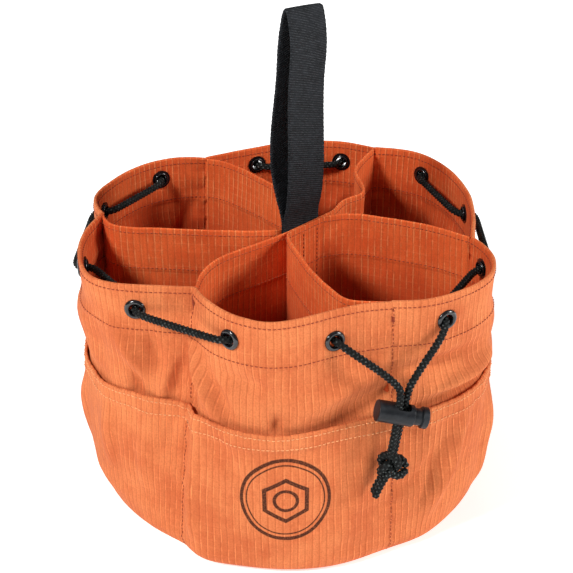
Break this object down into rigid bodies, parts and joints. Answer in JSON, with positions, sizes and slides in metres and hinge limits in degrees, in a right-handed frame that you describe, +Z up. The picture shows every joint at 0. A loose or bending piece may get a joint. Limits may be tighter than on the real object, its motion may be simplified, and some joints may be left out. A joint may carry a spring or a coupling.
{
  "type": "tool bucket organizer",
  "caption": "Round canvas bucket-liner tool bag with lobed compartments around a flat core, a webbing handle loop, outer pockets, and a drawstring with a barrel cord lock.",
  "frame": {"origin": "centre of the base on the floor", "axes": "+Z up along the bag; +X along the width of the flat core and its webbing; the cord lock hangs on the -Y side"},
  "size_m": [0.2648, 0.2685, 0.3053],
  "materials": {
    "canvas": "woven orange ripstop canvas",
    "webbing": "flat woven black webbing",
    "cord": "braided black cord",
    "eyelet_metal": "glossy black lacquer",
    "lock_plastic": "semi-gloss moulded black plastic",
    "spring_steel": "bright spring wire"
  },
  "bodies": {
    "bag": {"base_panel": "canvas", "outer_wall": "canvas", "pocket_band": "canvas", "divider_front": "canvas", "divider_middle": "canvas", "divider_back": "canvas", "handle_anchor": "webbing", "eyelet_01": "eyelet_metal", "eyelet_02": "eyelet_metal", "eyelet_03": "eyelet_metal", "eyelet_04": "eyelet_metal", "eyelet_05": "eyelet_metal", "eyelet_06": "eyelet_metal", "eyelet_07": "eyelet_metal", "eyelet_08": "eyelet_metal", "eyelet_09": "eyelet_metal", "eyelet_10": "eyelet_metal", "eyelet_11": "eyelet_metal", "eyelet_12": "eyelet_metal", "eyelet_washer_01": "eyelet_metal", "eyelet_washer_02": "eyelet_metal", "eyelet_washer_03": "eyelet_metal", "eyelet_washer_04": "eyelet_metal", "eyelet_washer_05": "eyelet_metal", "eyelet_washer_06": "eyelet_metal", "eyelet_washer_07": "eyelet_metal", "eyelet_washer_08": "eyelet_metal", "eyelet_washer_09": "eyelet_metal", "eyelet_washer_10": "eyelet_metal", "eyelet_washer_11": "eyelet_metal", "eyelet_washer_12": "eyelet_metal", "drawstring": "cord", "cord_end_left": "cord", "cord_end_right": "cord", "cord_knot": "cord", "cord_tip_left": "cord", "cord_tip_right": "cord"},
    "handle": {"handle_loop": "webbing"},
    "cord_lock": {"lock_barrel": "lock_plastic", "lock_spring": "spring_steel"},
    "lock_button": {"lock_plunger": "lock_plastic"}
  },
  "joints": [
    {"name": "handle_swing", "type": "hinge", "parent": "bag", "child": "handle", "pos_m": [0.007, -0.006, 0.175], "axis": [1, 0, 0], "range_deg": [-75, 75]},
    {"name": "lock_slide", "type": "slide", "parent": "bag", "child": "cord_lock", "axis": [-0.1222, 0.0951, -0.9879], "range_m": [0, 0.012]},
    {"name": "button_press", "type": "slide", "parent": "cord_lock", "child": "lock_button", "axis": [-0.7618, 0.5889, 0.2699], "range_m": [0, 0.0026], "stiffness_N_per_m": 600, "springref_m": -0.004, "deforming": ["lock_spring"]}
  ]
}
